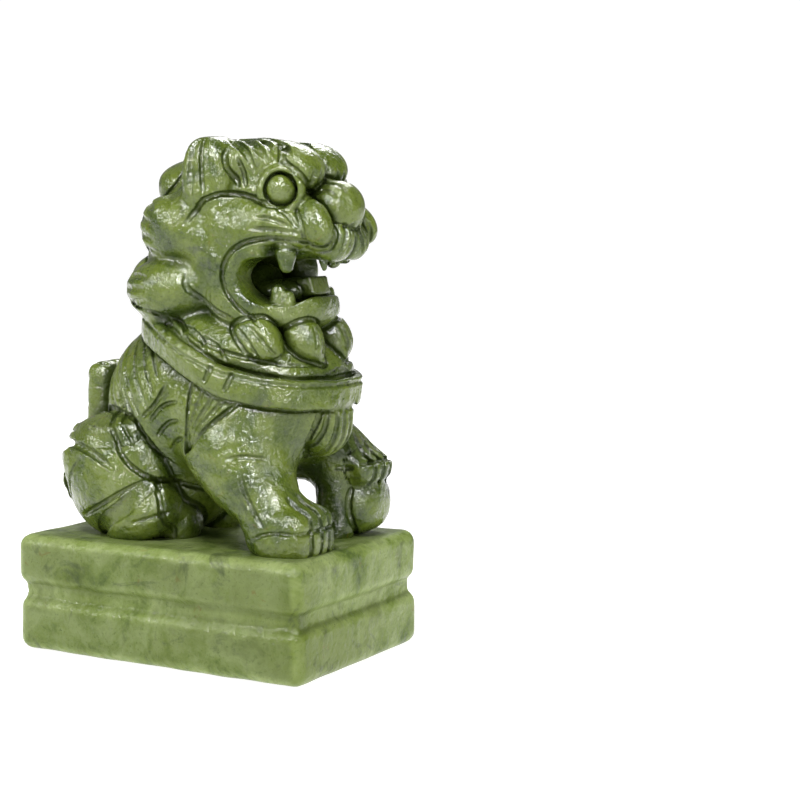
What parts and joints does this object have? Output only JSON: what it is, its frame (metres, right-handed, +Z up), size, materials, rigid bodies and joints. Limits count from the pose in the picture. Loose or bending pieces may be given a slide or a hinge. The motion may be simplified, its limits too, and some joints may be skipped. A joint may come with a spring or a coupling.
{
  "type": "foo dog statue",
  "caption": "Seated guardian lion figure with an open mouth and one forepaw on a ball, carved in one stone with its rectangular grooved plinth.",
  "frame": {"origin": "centre of the plinth's underside", "axes": "+Z up, +X the way the lion faces, +Y the lion's left"},
  "size_m": [0.079, 0.053, 0.1191],
  "materials": {
    "figure_stone": "olive green serpentine, mottled with paler and black-green patches, polished and clear lacquered to a wet gloss",
    "plinth_stone": "the same serpentine, paler and grey green, ground to a satin face with fine grain and small rust flecks"
  },
  "bodies": {
    "root": {"plinth_upper_tier": "plinth_stone", "plinth_waist": "plinth_stone", "plinth_lower_tier": "plinth_stone", "tongue": "figure_stone", "upper_front_teeth": "figure_stone", "lower_front_teeth": "figure_stone", "upper_fang_right": "figure_stone", "upper_fang_left": "figure_stone", "lower_fang_right": "figure_stone", "lower_fang_left": "figure_stone", "torso": "figure_stone", "haunch_right": "figure_stone", "haunch_left": "figure_stone", "ball": "figure_stone", "front_leg_right": "figure_stone", "front_leg_left": "figure_stone", "front_paw_right": "figure_stone", "front_paw_left": "figure_stone", "tail": "figure_stone", "chest_bib": "figure_stone", "hind_foot_right": "figure_stone", "hind_foot_left": "figure_stone", "hip_tuft_right": "figure_stone", "hip_tuft_left": "figure_stone", "haunch_tuft_right": "figure_stone", "haunch_tuft_left": "figure_stone", "neck_ruff": "figure_stone", "collar_band": "figure_stone", "skull": "figure_stone", "neck": "figure_stone", "muzzle": "figure_stone", "lower_jaw": "figure_stone", "nose": "figure_stone", "cheek_right": "figure_stone", "cheek_left": "figure_stone", "nostril_pad_right": "figure_stone", "nostril_pad_left": "figure_stone", "brow_right": "figure_stone", "brow_left": "figure_stone", "eye_right": "figure_stone", "eye_left": "figure_stone", "ear_right": "figure_stone", "ear_left": "figure_stone", "mane_curl_back_upper": "figure_stone", "mane_curl_back_middle": "figure_stone", "mane_curl_back_lower": "figure_stone", "mane_curl_upper_right": "figure_stone", "mane_curl_upper_left": "figure_stone", "mane_curl_lower_right": "figure_stone", "mane_curl_lower_left": "figure_stone", "beard_curl_outer_right": "figure_stone", "beard_curl_outer_left": "figure_stone", "beard_curl_inner_right": "figure_stone", "beard_curl_inner_left": "figure_stone"}
  },
  "joints": []
}
